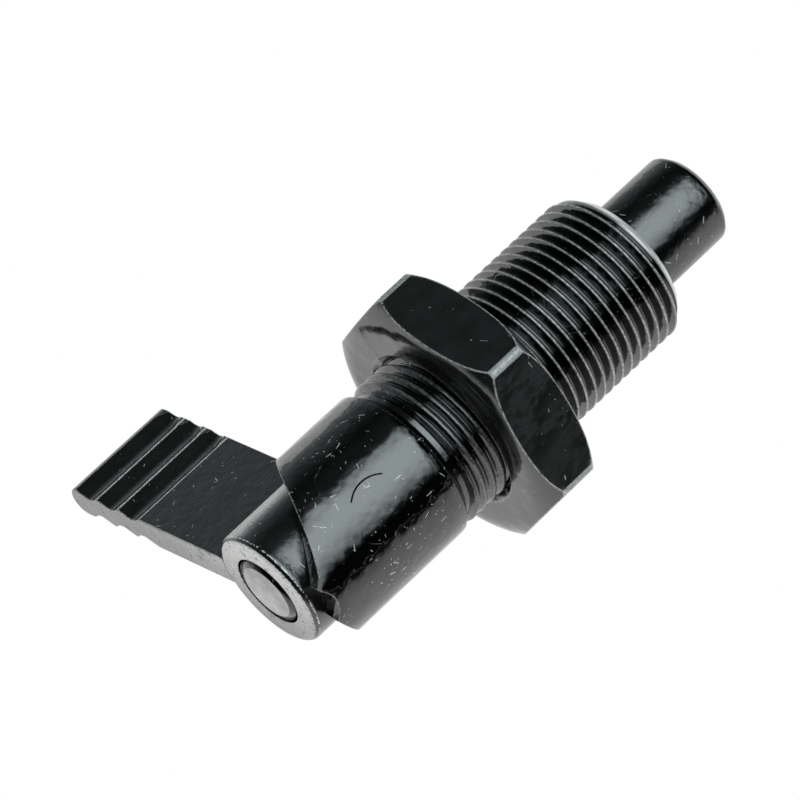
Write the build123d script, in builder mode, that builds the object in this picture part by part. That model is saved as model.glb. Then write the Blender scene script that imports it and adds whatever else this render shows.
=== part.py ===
from build123d import *
import math
import os

# Indexing plunger with a cam lever and a lock nut.
# Millimetres. +X runs along the plunger's axis towards the tip of the pin, +Z is up, and the
# origin is the centre of the body's front face. The plunger lies on one flat of its lock nut.

# ---- body: a turned and threaded sleeve with a cam milled into its rear end ----
thread_d = 20.0            # outside of the thread that screws into the machine
thread_rear_d = 19.5       # outside of the thread under and behind the lock nut
thread_length = 35.1       # front face to the relief groove
thread_chamfer = 1.5
relief_d = 18.0            # groove where the thread runs out
relief_width = 0.65
shoulder_cone = 0.95       # length of the cone from the relief groove up to the sleeve
sleeve_d = 20.0
sleeve_to_valley = 6.65    # shoulder to the lowest point of the cam
bore_depth = 33.0          # front face to the web that the spring pushes on
web_thickness = 3.5
bore_mouth = 0.3           # broken edge at the bore's mouth

# ---- cam: two mirrored helical ramps that meet at a milled notch ----
cam_angle = -21.2          # direction of the cam's lowest line, from +Y towards +Z, in degrees
cam_lead = 31.4            # climb of one ramp in a full turn
notch_cutter_d = 6.0       # the notch is as round as the cutter
notch_depth = 2.1          # from the line where the ramps would meet

# ---- indexing pin: pin and rod, turned in one piece ----
pin_d = 12.0
pin_reach = 12.0           # stands out of the body's front face
pin_guided = 9.0           # length inside the body, as far as the spring
pin_chamfer = 0.75
rod_d = 9.0
rod_proud = 0.2            # stands out of the hub's end face
rod_chamfer = 0.45

# ---- return spring ----
wire_d = 1.2
spring_turns = 7

# ---- lever: hub and paddle, cast in one piece ----
lever_angle = -19.0        # paddle's direction at rest, beside the cam's lowest line by its play
hub_d = 15.0
hub_edge = 0.8             # rounding of the hub's end face
hub_proud = 0.2            # hub's end face past the paddle's rear edge
hub_inner_edge = 0.3
paddle_width = 14.62       # along the axis
paddle_thickness = 3.9
paddle_reach = 36.55       # axis to the rounded tip
paddle_edge = 0.3          # rounding of the rear face's edges
paddle_nose = 1.0          # rounding of the front face's edges where they ride on the ramps
paddle_nose_reach = 11.0   # axis to the end of that rounding, under the sleeve's skin
root_fillet = 0.5
grip_from_tip = 1.6        # end of the last groove to the tip
grip_pitch = 4.05
grip_count = 3
grip_depth = 0.95
grip_step = 1.45           # length of a groove's steep side
grip_shift = 1.5           # the underside's grooves are this much nearer the axis
grip_hollow = 2.0          # rounding at the bottom of a groove
grip_crest = 0.35          # rounding of the crests on the underside
grip_rise = 0.4            # how much shallower the upper grooves are at the front face
grip_rise_length = 1.6

# ---- cross pin: rolled spring pin through hub and rod ----
cross_pin_d = 3.0
cross_pin_wall = 0.6
cross_pin_slot = 0.7
cross_pin_short = 0.4      # sunk under the hub's surface at each end
cross_pin_from_end = 2.8   # centre from the hub's inner end

# ---- lock nut ----
nut_across_flats = 30.0
nut_thickness = 8.4
nut_round = 4.8            # rounding from a face to the hexagon's corners
nut_corner_drop = 2.18     # from a face to the end of that rounding at a corner
nut_mouth_d = 21.2
nut_from_front = 21.8      # body's front face to the nut's clamping face

# ---- clearances ----
pin_clearance = 0.05       # radial, pin in the body's bore
rod_clearance = 0.07       # radial, rod in the web and in the hub
hub_clearance = 0.1        # radial, hub in the sleeve
hub_end_gap = 0.5          # hub's inner end to the web
cam_clearance = 0.05       # paddle to the nearer ramp
seat_gap = 0.05            # spring to the faces that it pushes on
nut_clearance = 0.05       # radial, nut on the thread
cross_pin_clearance = 0.02

# ---- margins ----
cutter_margin = 2.0        # the cam cutter goes past the sleeve's skin and end by this
same_place = 0.01          # faces and edges nearer than this to a place are at it

# ---- places worked out from the sizes ----
shoulder_x = -(thread_length + relief_width)
valley_x = shoulder_x - sleeve_to_valley
ramp_rise = cam_lead / 2
cam_end_x = valley_x - ramp_rise
pin_bore_r = pin_d / 2 + pin_clearance
hub_bore_r = hub_d / 2 + hub_clearance
web_x = -bore_depth
hub_floor_x = web_x - web_thickness
hub_inner_x = hub_floor_x - hub_end_gap
ramp_slope = cam_lead / (2 * math.pi * hub_bore_r)
flank_rise = (paddle_thickness / 2 - paddle_nose) * ramp_slope
nose_rise = paddle_nose * (math.hypot(1, ramp_slope) - 1)
play_rise = cam_lead * abs(lever_angle - cam_angle) / 360
paddle_front_x = valley_x - flank_rise - nose_rise - play_rise - cam_clearance
paddle_rear_x = paddle_front_x - paddle_width
hub_end_x = paddle_rear_x - hub_proud
cross_pin_x = hub_inner_x - cross_pin_from_end


def outwards(angle):
    """Direction out from the axis, at an angle from +Y towards +Z."""
    return (0, math.cos(math.radians(angle)), math.sin(math.radians(angle)))


lever_dir = outwards(lever_angle)
cam_dir = outwards(cam_angle)


def across_lever(x):
    """Plane across the axis at x, with its own X along the paddle and its own Y across it."""
    return Plane(origin=(x, 0, 0), x_dir=lever_dir, z_dir=(1, 0, 0))


def along_lever(x):
    """Plane across the paddle's direction, which it faces, on the axis at x."""
    return Plane(origin=(x, 0, 0), x_dir=(-1, 0, 0), z_dir=lever_dir)


os.makedirs("parts", exist_ok=True)

# ---- cam cutter: all that the milling of the two ramps takes away ----
# It is drawn about its own Z, which the cam plane lays along the plunger towards the rear.
cutter_inner = pin_bore_r
cutter_outer = sleeve_d / 2 + cutter_margin
cutter_middle = (cutter_inner + cutter_outer) / 2
cutter_height = ramp_rise + cutter_margin
cam_plane = Plane(origin=(valley_x, 0, 0), x_dir=cam_dir, z_dir=(-1, 0, 0))

with BuildPart() as cam_cutter:
    with BuildLine() as ramp_line:
        Helix(pitch=cam_lead, height=ramp_rise, radius=cutter_middle)
    with BuildSketch(Plane.XZ) as cutter_section:
        with Locations((cutter_middle, cutter_height / 2)):
            Rectangle(cutter_outer - cutter_inner, cutter_height)
    sweep(path=ramp_line.line, is_frenet=True)
    mirror(about=Plane.XZ)

# ---- body ----
notch_x = cam_end_x + notch_depth - notch_cutter_d / 2
rear_plane = Plane(origin=(cam_end_x, 0, 0), x_dir=(0, 1, 0), z_dir=(-1, 0, 0))
notch_plane = Plane(origin=(notch_x, 0, 0), x_dir=(-1, 0, 0), z_dir=[-d for d in cam_dir])

with BuildPart() as body:
    with BuildSketch(Plane.XY) as body_outline:
        with BuildLine():
            Polyline(
                (cam_end_x, 0),
                (cam_end_x, sleeve_d / 2),
                (shoulder_x - shoulder_cone, sleeve_d / 2),
                (shoulder_x, relief_d / 2),
                (-thread_length, relief_d / 2),
                (-thread_length, thread_rear_d / 2),
                (-nut_from_front, thread_rear_d / 2),
                (-nut_from_front, thread_d / 2),
                (0, thread_d / 2),
                (0, 0),
                close=True,
            )
        make_face()
    revolve(axis=Axis.X)
    front_rim = body.edges().filter_by(GeomType.CIRCLE).sort_by(Axis.X)[-1]
    chamfer(front_rim, thread_chamfer)
    with Locations(Plane.YZ):
        Hole(radius=pin_bore_r, depth=bore_depth)
        Hole(radius=rod_d / 2 + rod_clearance)
    bore_rim = body.faces().sort_by(Axis.X)[-1].inner_wires()[0].edges()
    chamfer(bore_rim, bore_mouth)
    with Locations(rear_plane):
        Hole(radius=hub_bore_r, depth=hub_floor_x - cam_end_x)
    add(cam_cutter.part.moved(cam_plane.location), mode=Mode.SUBTRACT)
    with BuildSketch(notch_plane) as notch_section:
        Circle(notch_cutter_d / 2)
    extrude(amount=sleeve_d, mode=Mode.SUBTRACT)

# ---- indexing pin ----
rod_end_x = hub_end_x - rod_proud
with BuildPart() as indexing_pin:
    with BuildSketch(Plane.XY) as pin_outline:
        with BuildLine():
            Polyline(
                (rod_end_x, 0),
                (rod_end_x, rod_d / 2),
                (-pin_guided, rod_d / 2),
                (-pin_guided, pin_d / 2),
                (pin_reach, pin_d / 2),
                (pin_reach, 0),
                close=True,
            )
        make_face()
    revolve(axis=Axis.X)
    end_rims = indexing_pin.edges().filter_by(GeomType.CIRCLE).sort_by(Axis.X)
    chamfer(end_rims[-1], pin_chamfer)
    chamfer(end_rims[0], rod_chamfer)
    with BuildSketch(along_lever(cross_pin_x)) as rod_hole:
        Circle(cross_pin_d / 2 + cross_pin_clearance)
    extrude(amount=hub_d, both=True, mode=Mode.SUBTRACT)

# ---- return spring: a helix with both ends ground flat ----
spring_rear_x = web_x + seat_gap
spring_front_x = -pin_guided - seat_gap
spring_length = spring_front_x - spring_rear_x
spring_pitch = (spring_length + wire_d) / spring_turns
spring_r = (rod_d / 2 + pin_bore_r) / 2
spring_plane = Plane(origin=(spring_rear_x - wire_d / 2, 0, 0), x_dir=(0, 1, 0), z_dir=(1, 0, 0))

with BuildPart() as coil:
    with BuildLine() as coil_line:
        Helix(pitch=spring_pitch, height=spring_length + wire_d, radius=spring_r)
    with BuildSketch(Plane.XZ) as wire_section:
        with Locations((spring_r, 0)):
            Circle(wire_d / 2)
    sweep(path=coil_line.line, is_frenet=True)

with BuildPart() as return_spring:
    add(coil.part.moved(spring_plane.location))
    with BuildSketch(Plane.YZ.offset(spring_rear_x)) as ground_length:
        Circle(thread_d)
    extrude(amount=spring_length, mode=Mode.INTERSECT)

# ---- lever ----
half = paddle_thickness / 2
rise_slope = grip_rise / grip_rise_length
rising = (1, -rise_slope * lever_dir[2], rise_slope * lever_dir[1])
tip_centre = paddle_reach - half
grip_end = paddle_reach - grip_from_tip
grip_edges = [grip_end - grip_pitch * (i + 1) for i in range(grip_count)]

with BuildPart() as nose_cutter:
    with BuildSketch(along_lever(paddle_front_x)) as nose_corners:
        with Locations((0, half), (0, -half)):
            Rectangle(2 * paddle_nose, 2 * paddle_nose)
        with Locations((paddle_nose, half - paddle_nose), (paddle_nose, paddle_nose - half)):
            Circle(paddle_nose, mode=Mode.SUBTRACT)
    extrude(amount=paddle_nose_reach)
    with Locations(Plane.YZ.offset(paddle_front_x + paddle_nose)):
        Hole(radius=hub_d / 2)

with BuildPart() as lever:
    with BuildSketch(across_lever(paddle_rear_x)) as paddle_section:
        with BuildLine():
            Polyline((0, -half), (0, half), (tip_centre, half))
            RadiusArc((tip_centre, half), (tip_centre, -half), half)
            Line((tip_centre, -half), (0, -half))
        make_face()
        for edge in grip_edges:
            with BuildLine():
                Polyline(
                    (edge - grip_shift, -half),
                    (edge - grip_shift + grip_pitch - grip_step, grip_depth - half),
                    (edge - grip_shift + grip_pitch, -half),
                    close=True,
                )
            make_face(mode=Mode.SUBTRACT)
        hollows = paddle_section.vertices().filter_by(
            lambda v: abs(v.Y - (grip_depth - half)) < same_place
        )
        fillet(hollows, grip_hollow)
        crests = paddle_section.vertices().filter_by(
            lambda v: abs(v.Y + half) < same_place and grip_edges[-1] < v.X < grip_edges[0]
        )
        fillet(crests, grip_crest)
    extrude(amount=paddle_width)
    fillet(lever.faces().sort_by(Axis.X)[0].edges(), paddle_edge)
    with BuildSketch(across_lever(paddle_rear_x)) as upper_grooves:
        for edge in grip_edges:
            with BuildLine():
                Polyline(
                    (edge, half),
                    (edge + grip_step, half - grip_depth),
                    (edge + grip_pitch, half),
                    close=True,
                )
            make_face()
        upper_hollows = upper_grooves.vertices().filter_by(
            lambda v: abs(v.Y - (half - grip_depth)) < same_place
        )
        fillet(upper_hollows, grip_hollow)
    extrude(amount=paddle_width - grip_rise_length, mode=Mode.SUBTRACT)
    rise_start = Location((paddle_width - grip_rise_length, 0, 0))
    rising_grooves = [groove.moved(rise_start) for groove in upper_grooves.sketch.faces()]
    extrude(rising_grooves, amount=2 * grip_rise_length, dir=rising, mode=Mode.SUBTRACT)
    with BuildSketch(Plane.XY) as hub_outline:
        with BuildLine():
            Polyline(
                (hub_end_x + hub_edge, hub_d / 2),
                (hub_inner_x - hub_inner_edge, hub_d / 2),
                (hub_inner_x, hub_d / 2 - hub_inner_edge),
                (hub_inner_x, 0),
                (hub_end_x, 0),
                (hub_end_x, hub_d / 2 - hub_edge),
            )
            RadiusArc(
                (hub_end_x, hub_d / 2 - hub_edge), (hub_end_x + hub_edge, hub_d / 2), hub_edge
            )
        make_face()
    revolve(axis=Axis.X)
    hub_lines = lever.edges().filter_by(Axis.X).filter_by(
        lambda e: abs(math.hypot(e.center().Y, e.center().Z) - hub_d / 2) < same_place
    )
    fillet(hub_lines.filter_by(lambda e: e.length < paddle_width), root_fillet)
    add(nose_cutter.part, mode=Mode.SUBTRACT)
    with Locations(Plane.YZ.offset(hub_inner_x)):
        Hole(radius=rod_d / 2 + rod_clearance)
    with BuildSketch(along_lever(cross_pin_x)) as hub_pin_hole:
        Circle(cross_pin_d / 2 + cross_pin_clearance)
    extrude(amount=hub_d, both=True, mode=Mode.SUBTRACT)

# ---- cross pin: a rolled strip with an open slot ----
with BuildPart() as cross_pin:
    with BuildSketch(along_lever(cross_pin_x)) as rolled_section:
        Circle(cross_pin_d / 2)
        Circle(cross_pin_d / 2 - cross_pin_wall, mode=Mode.SUBTRACT)
        with Locations((cross_pin_d / 2, 0)):
            Rectangle(cross_pin_d, cross_pin_slot, mode=Mode.SUBTRACT)
    extrude(amount=hub_d / 2 - cross_pin_short, both=True)

# ---- lock nut ----
nut_front_x = -nut_from_front
nut_rear_x = nut_front_x - nut_thickness
nut_bore_r = thread_rear_d / 2 + nut_clearance
nut_corner_r = nut_across_flats / 2 / math.cos(math.pi / 6)
mouth_depth = nut_mouth_d / 2 - nut_bore_r
nut_face_r = nut_corner_r - math.sqrt(nut_round**2 - (nut_round - nut_corner_drop) ** 2)
rear_edge = (nut_rear_x, nut_face_r)
rear_corner = (nut_rear_x + nut_corner_drop, nut_corner_r)
front_corner = (nut_front_x - nut_corner_drop, nut_corner_r)
front_edge = (nut_front_x, nut_face_r)

with BuildPart() as lock_nut:
    with BuildSketch(Plane.YZ.offset(nut_rear_x)) as hexagon:
        RegularPolygon(radius=nut_across_flats / 2, side_count=6, major_radius=False)
    extrude(amount=nut_thickness)
    with BuildSketch(Plane.XY) as barrel_outline:
        with BuildLine():
            Polyline(front_edge, (nut_front_x, 0), (nut_rear_x, 0), rear_edge)
            RadiusArc(rear_edge, rear_corner, nut_round)
            Line(rear_corner, front_corner)
            RadiusArc(front_corner, front_edge, nut_round)
        make_face()
    revolve(axis=Axis.X, mode=Mode.INTERSECT)
    with Locations(Plane.YZ.offset(nut_front_x)):
        Hole(radius=nut_bore_r)
    mouths = lock_nut.edges().filter_by(GeomType.CIRCLE).filter_by(
        lambda e: abs(e.radius - nut_bore_r) < same_place
    )
    chamfer(mouths, mouth_depth)

pieces = {
    "body": body,
    "indexing_pin": indexing_pin,
    "return_spring": return_spring,
    "lever": lever,
    "cross_pin": cross_pin,
    "lock_nut": lock_nut,
}
for name, piece in pieces.items():
    piece.part.label = name
    export_step(piece.part, f"parts/{name}.step")
    print(f"{name}: {len(piece.solids())} solid, {piece.part.volume:.0f} cubic mm")
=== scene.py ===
"""Looks of the cam lever indexing plunger: black steel, a cut thread, a stage and a camera."""

import math
import bmesh
import bpy
import numpy as np
from mathutils import Matrix, Vector


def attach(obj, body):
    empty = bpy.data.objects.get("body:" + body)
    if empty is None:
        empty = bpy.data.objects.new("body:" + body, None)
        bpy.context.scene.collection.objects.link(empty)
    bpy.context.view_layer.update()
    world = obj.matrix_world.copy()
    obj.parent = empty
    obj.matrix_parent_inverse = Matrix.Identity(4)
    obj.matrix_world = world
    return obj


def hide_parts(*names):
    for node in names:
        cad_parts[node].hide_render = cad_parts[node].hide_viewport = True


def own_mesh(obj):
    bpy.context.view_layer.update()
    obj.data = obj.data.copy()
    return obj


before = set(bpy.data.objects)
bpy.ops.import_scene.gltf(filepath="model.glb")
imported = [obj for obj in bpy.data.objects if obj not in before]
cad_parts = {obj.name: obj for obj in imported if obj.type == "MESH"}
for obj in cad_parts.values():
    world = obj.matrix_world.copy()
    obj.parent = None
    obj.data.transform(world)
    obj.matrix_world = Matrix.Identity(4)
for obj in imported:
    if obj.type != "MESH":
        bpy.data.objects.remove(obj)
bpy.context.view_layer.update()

MM = 0.001

# ---- sizes of the body, in millimetres; +X runs along the plunger towards the pin's tip ----
THREAD_R = 10.0
THREAD_REAR_R = 9.75  # behind the nut
THREAD_APEX_R = 10.164  # where a ridge's flanks would meet
THREAD_ROOT_R = 9.08
THREAD_SLOPE = 1.732  # radius that a flank loses over each millimetre along the axis
THREAD_LENGTH = 35.1
THREAD_PITCH = 1.5
THREAD_CHAMFER = 1.5
CREST_ROUNDING = 0.12
REAR_CREST_ROUNDING = 0.5
ROOT_ROUNDING = 0.2
RUN_OUT_SLOPE = 2.0
NUT_MIDDLE_X = -26.0
RELIEF_R = 9.0
RELIEF_RIDGE = 0.015
RELIEF_GROOVES = 5
SHOULDER_X = -35.75
SHOULDER_CONE = 0.95
CONE_FOOT = 0.3
SLEEVE_R = 10.0
SLEEVE_EDGE = 0.12
VALLEY_X = -42.4
CAM_ANGLE = -21.2
CAM_LEAD = 31.4
CAM_EDGE = 0.1
CAM_END_X = VALLEY_X - CAM_LEAD / 2
NOTCH_R = 3.0
NOTCH_DEPTH = 2.1
NOTCH_X = CAM_END_X + NOTCH_DEPTH - NOTCH_R
HUB_BORE_R = 7.6
HUB_FLOOR_X = -36.5
HUB_FLOOR_RIM = 0.4
ROD_BORE_R = 4.57
WEB_X = -33.0
PIN_BORE_R = 6.05
BORE_MOUTH = 0.3

# ---- indexing pin and its rod ----
PIN_R = 6.0
PIN_TIP_X = 12.0
PIN_REAR_X = -9.0
PIN_REAR_EDGE = 0.2
PIN_CHAMFER = 0.75
# The softened corner where the pin's chamfer starts: how far in from its side, and how far on.
PIN_CORNER = ((0.0, -0.4), (0.03, -0.13), (0.15, 0.1))
TIP_EDGE = 0.08
TIP_EDGE_WIDTH = 0.15
ROD_R = 4.5
ROD_END_X = -58.48
ROD_FACE_R = 3.5
ROD_RIM_R = 4.3
ROD_RIM_X = -58.25
ROD_RIM_EDGE = 0.06
ROD_TAPER = 1.0

# ---- rear end of the lever: its hub and its paddle ----
HUB_R = 7.5
HUB_END_X = -58.28
PADDLE_REAR_X = -58.08

# ---- return spring ----
SPRING_REAR_X = -32.95
SPRING_LENGTH = 23.9
SPRING_R = 5.275
WIRE_R = 0.6
SPRING_TURNS = 7

# ---- how finely the shapes are divided ----
THREAD_STEPS = 144  # columns in one turn
THREAD_ROWS = 16  # rows across one turn
CREST_SHARE = 0.5  # of the rows on each side, those on the crest
FLANK_SHARE = 0.625  # and those on the crest and the flank
CREST_ROWS_WIDTH = 0.22
ROOT_ROWS_WIDTH = 0.21
RAMP_STEPS = 120
NOTCH_STEPS = 24
WALL_ROWS = 14
CORNER_STEPS = 3
SPRING_STEPS = 32
WIRE_SIDES = 16
SEAM = 0.001  # points closer than this are one
BODY_SEAM = 0.002
EMPTY_EDGE = 0.0001  # an edge shorter than this is none


# ======== node tree helpers ========
# Places of a Mix node's two values and of its output, for each kind of value.
MIX_SOCKETS = {"FLOAT": (2, 3, 0), "VECTOR": (4, 5, 1), "RGBA": (6, 7, 2)}


def empty_tree(owner):
    """The node tree of a material or a world, cleared."""
    owner.use_nodes = True
    owner.node_tree.nodes.clear()
    return owner.node_tree


def set_input(tree, socket, value):
    """Link value to the socket if it is an output, or set it as the socket's own number."""
    if isinstance(value, bpy.types.NodeSocket):
        tree.links.new(value, socket)
    else:
        socket.default_value = value


def add_node(tree, kind, inputs=None, **settings):
    """Add a node, set its settings, and set or link its inputs by name or place."""
    made = tree.nodes.new(kind)
    for key, value in settings.items():
        setattr(made, key, value)
    for key, value in (inputs or {}).items():
        set_input(tree, made.inputs[key], value)
    return made


def maths(tree, operation, *values, clamp=False):
    """One Math node; returns its output."""
    made = add_node(tree, "ShaderNodeMath", operation=operation, use_clamp=clamp)
    for socket, value in zip(made.inputs, values):
        set_input(tree, socket, value)
    return made.outputs[0]


def vector_maths(tree, operation, *values, scale=None):
    """One Vector Math node; returns the node."""
    made = add_node(tree, "ShaderNodeVectorMath", operation=operation)
    for socket, value in zip(made.inputs, values):
        set_input(tree, socket, value)
    if scale is not None:
        set_input(tree, made.inputs["Scale"], scale)
    return made


def product(tree, value, *factors):
    """The value times each of the factors."""
    for factor in factors:
        value = maths(tree, "MULTIPLY", value, factor)
    return value


def rescale(tree, value, low, high, to_low=0.0, to_high=1.0, smooth=False):
    """Map Range from low..high to to_low..to_high, clamped."""
    kind = "SMOOTHSTEP" if smooth else "LINEAR"
    made = add_node(tree, "ShaderNodeMapRange", interpolation_type=kind, clamp=True)
    for key, number in zip(
        ("Value", "From Min", "From Max", "To Min", "To Max"), (value, low, high, to_low, to_high)
    ):
        set_input(tree, made.inputs[key], number)
    return made.outputs["Result"]


def mix(tree, kind, share, first, second):
    """Mix two values of a kind, FLOAT, VECTOR or RGBA; the share is the second one's."""
    place_first, place_second, place_out = MIX_SOCKETS[kind]
    inputs = {0: share, place_first: first, place_second: second}
    return add_node(tree, "ShaderNodeMix", inputs, data_type=kind).outputs[place_out]


def node_group_mesh(name, tree, material, values):
    """Run a Geometry Nodes tree with the given inputs and return its result as a plain mesh."""
    host = bpy.data.objects.new(name, bpy.data.meshes.new(name))
    bpy.context.scene.collection.objects.link(host)
    modifier = host.modifiers.new(name, "NODES")
    modifier.node_group = tree
    sockets = {
        item.name: item.identifier
        for item in tree.interface.items_tree
        if item.item_type == "SOCKET" and item.in_out == "INPUT"
    }
    for key, value in {**values, "Material": material}.items():
        modifier[sockets[key]] = value
    bpy.context.view_layer.update()
    graph = bpy.context.evaluated_depsgraph_get()
    mesh = bpy.data.meshes.new_from_object(host.evaluated_get(graph))
    bpy.data.objects.remove(host)
    return mesh


def new_geometry_tree(name, floats, integers=()):
    """A Geometry Nodes tree with named number inputs and a Material; returns it and its inputs."""
    tree = bpy.data.node_groups.new(name, "GeometryNodeTree")
    for key in floats:
        tree.interface.new_socket(key, in_out="INPUT", socket_type="NodeSocketFloat")
    for key in integers:
        tree.interface.new_socket(key, in_out="INPUT", socket_type="NodeSocketInt")
    tree.interface.new_socket("Material", in_out="INPUT", socket_type="NodeSocketMaterial")
    tree.interface.new_socket("Geometry", in_out="OUTPUT", socket_type="NodeSocketGeometry")
    given = tree.nodes.new("NodeGroupInput").outputs
    return tree, {item.name: item for item in given if item.name}


def finish_geometry_tree(tree, geometry, material):
    """End the tree in Realize Instances and Set Material."""
    real = add_node(tree, "GeometryNodeRealizeInstances", {"Geometry": geometry})
    painted = add_node(
        tree, "GeometryNodeSetMaterial", {"Geometry": real.outputs[0], "Material": material}
    )
    add_node(tree, "NodeGroupOutput", {"Geometry": painted.outputs[0]})


# ======== cut thread ========
def thread_tree():
    """A strip that winds along the shank, one pitch wide, shaped to the thread's profile."""
    tree, given = new_geometry_tree(
        "cut_thread",
        [
            "Pitch", "Length", "Crest Radius", "Rear Crest Radius", "Rear From", "Apex Radius",
            "Root Radius", "Slope", "Chamfer", "Relief Radius", "Crest Rounding",
            "Rear Crest Rounding", "Root Rounding", "Crest Rows Width", "Root Rows Width",
        ],
        ["Turns", "Steps", "Rows"],
    )
    columns = maths(tree, "ADD", maths(tree, "MULTIPLY", given["Turns"], given["Steps"]), 1)
    strip = add_node(
        tree,
        "GeometryNodeMeshGrid",
        {
            "Size X": given["Turns"],
            "Size Y": 2.0,
            "Vertices X": columns,
            "Vertices Y": maths(tree, "ADD", given["Rows"], 1),
        },
    )
    place = add_node(tree, "GeometryNodeInputPosition").outputs[0]
    parts = add_node(tree, "ShaderNodeSeparateXYZ", {0: place}).outputs
    turn, across = parts["X"], parts["Y"]

    # Rows lie close together on the crest and in the root, and one long face makes each flank.
    row = maths(tree, "ABSOLUTE", across)
    half_pitch = maths(tree, "MULTIPLY", given["Pitch"], 0.5)
    flank = maths(tree, "SUBTRACT", half_pitch, given["Crest Rows Width"])
    flank = maths(tree, "SUBTRACT", flank, given["Root Rows Width"])
    away = rescale(tree, row, 0.0, CREST_SHARE, 0.0, given["Crest Rows Width"])
    away = maths(tree, "ADD", away, rescale(tree, row, CREST_SHARE, FLANK_SHARE, 0.0, flank))
    root = rescale(tree, row, FLANK_SHARE, 1.0, 0.0, given["Root Rows Width"])
    away = maths(tree, "ADD", away, root)
    away = maths(tree, "MULTIPLY", away, maths(tree, "SIGN", across))
    middle = maths(tree, "MULTIPLY", given["Length"], -0.5)
    crest = maths(tree, "MULTIPLY_ADD", turn, given["Pitch"], middle)
    along = maths(tree, "ADD", crest, away)
    along = maths(tree, "MINIMUM", along, 0.0)
    along = maths(tree, "MAXIMUM", along, maths(tree, "MULTIPLY", given["Length"], -1.0))

    off = maths(tree, "ABSOLUTE", maths(tree, "SUBTRACT", along, crest))
    radius = maths(tree, "MULTIPLY", off, given["Slope"])
    radius = maths(tree, "SUBTRACT", given["Apex Radius"], radius)
    behind = maths(tree, "LESS_THAN", along, given["Rear From"])
    lower = maths(tree, "SUBTRACT", given["Crest Radius"], given["Rear Crest Radius"])
    top = maths(tree, "MULTIPLY", lower, behind)
    top = maths(tree, "SUBTRACT", given["Crest Radius"], top)
    rounder = maths(tree, "SUBTRACT", given["Rear Crest Rounding"], given["Crest Rounding"])
    rounding = maths(tree, "MULTIPLY_ADD", rounder, behind, given["Crest Rounding"])
    radius = maths(tree, "SMOOTH_MIN", radius, top, rounding)
    radius = maths(tree, "SMOOTH_MAX", radius, given["Root Radius"], given["Root Rounding"])
    cone = maths(tree, "SUBTRACT", given["Crest Radius"], given["Chamfer"])
    cone = maths(tree, "SUBTRACT", cone, along)
    faced = maths(tree, "GREATER_THAN", radius, cone)
    radius = maths(tree, "MINIMUM", radius, cone)
    run_out = maths(tree, "ADD", along, given["Length"])
    run_out = maths(tree, "MULTIPLY_ADD", run_out, RUN_OUT_SLOPE, given["Relief Radius"])
    radius = maths(tree, "MINIMUM", radius, run_out)

    angle = maths(tree, "MULTIPLY", turn, 2 * math.pi)
    shaped = add_node(
        tree,
        "ShaderNodeCombineXYZ",
        {
            "X": along,
            "Y": maths(tree, "MULTIPLY", radius, maths(tree, "COSINE", angle)),
            "Z": maths(tree, "MULTIPLY", radius, maths(tree, "SINE", angle)),
        },
    )
    marked = add_node(
        tree,
        "GeometryNodeStoreNamedAttribute",
        {"Geometry": strip.outputs["Mesh"], "Name": "faced", "Value": faced},
        data_type="FLOAT",
        domain="POINT",
    )
    bent = add_node(
        tree,
        "GeometryNodeSetPosition",
        {"Geometry": marked.outputs[0], "Position": shaped.outputs[0]},
    )
    joined = add_node(
        tree,
        "GeometryNodeMergeByDistance",
        {"Geometry": bent.outputs[0], "Distance": SEAM * MM},
    )
    finish_geometry_tree(tree, joined.outputs[0], given["Material"])
    return tree


def thread_mesh(material):
    """The shank's thread from its front chamfer to the relief groove."""
    # An even number of turns, with more than one to spare at each end.
    turns = 2 * math.ceil((THREAD_LENGTH / THREAD_PITCH + 3) / 2)
    return node_group_mesh(
        "thread",
        thread_tree(),
        material,
        {
            "Pitch": THREAD_PITCH * MM,
            "Length": THREAD_LENGTH * MM,
            "Crest Radius": THREAD_R * MM,
            "Rear Crest Radius": THREAD_REAR_R * MM,
            "Rear From": NUT_MIDDLE_X * MM,
            "Apex Radius": THREAD_APEX_R * MM,
            "Root Radius": THREAD_ROOT_R * MM,
            "Slope": THREAD_SLOPE,
            "Chamfer": THREAD_CHAMFER * MM,
            "Relief Radius": RELIEF_R * MM,
            "Crest Rounding": CREST_ROUNDING * MM,
            "Rear Crest Rounding": REAR_CREST_ROUNDING * MM,
            "Root Rounding": ROOT_ROUNDING * MM,
            "Crest Rows Width": CREST_ROWS_WIDTH * MM,
            "Root Rows Width": ROOT_ROWS_WIDTH * MM,
            "Turns": turns,
            "Steps": THREAD_STEPS,
            "Rows": THREAD_ROWS,
        },
    )


# ======== turned sleeve with its cam ========
def ramp_x(turned):
    """Where the ramp ends the sleeve, at an angle in radians from its lowest line."""
    return VALLEY_X - CAM_LEAD * turned / (2 * math.pi)


def notch_end_x(turned, radius):
    """Where the round cutter of the notch ends the sleeve."""
    beside = np.minimum(np.abs(radius * np.sin(np.pi - turned)), NOTCH_R)
    return NOTCH_X + np.sqrt(NOTCH_R**2 - beside**2)


def notch_corner(radius):
    """Angle from the cam's lowest line at which the ramp meets the notch."""
    low, high = math.pi - math.asin(NOTCH_R / radius), math.pi
    for _ in range(50):
        middle = (low + high) / 2
        if notch_end_x(middle, radius) > ramp_x(middle):
            high = middle
        else:
            low = middle
    return (low + high) / 2


def cam_edge(radius):
    """Angles from the lowest line and axial places of the cam's edge at a radius, once round."""
    corner = notch_corner(radius)
    ramp = np.linspace(0, corner, RAMP_STEPS + 1)
    notch = np.linspace(corner, math.pi, NOTCH_STEPS + 1)[1:]
    angles = np.concatenate([ramp, notch])
    places = np.concatenate([ramp_x(ramp), notch_end_x(notch, radius)])
    angles = np.concatenate([angles, -angles[-2:0:-1]])
    places = np.concatenate([places, places[-2:0:-1]])
    return angles, places


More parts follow.
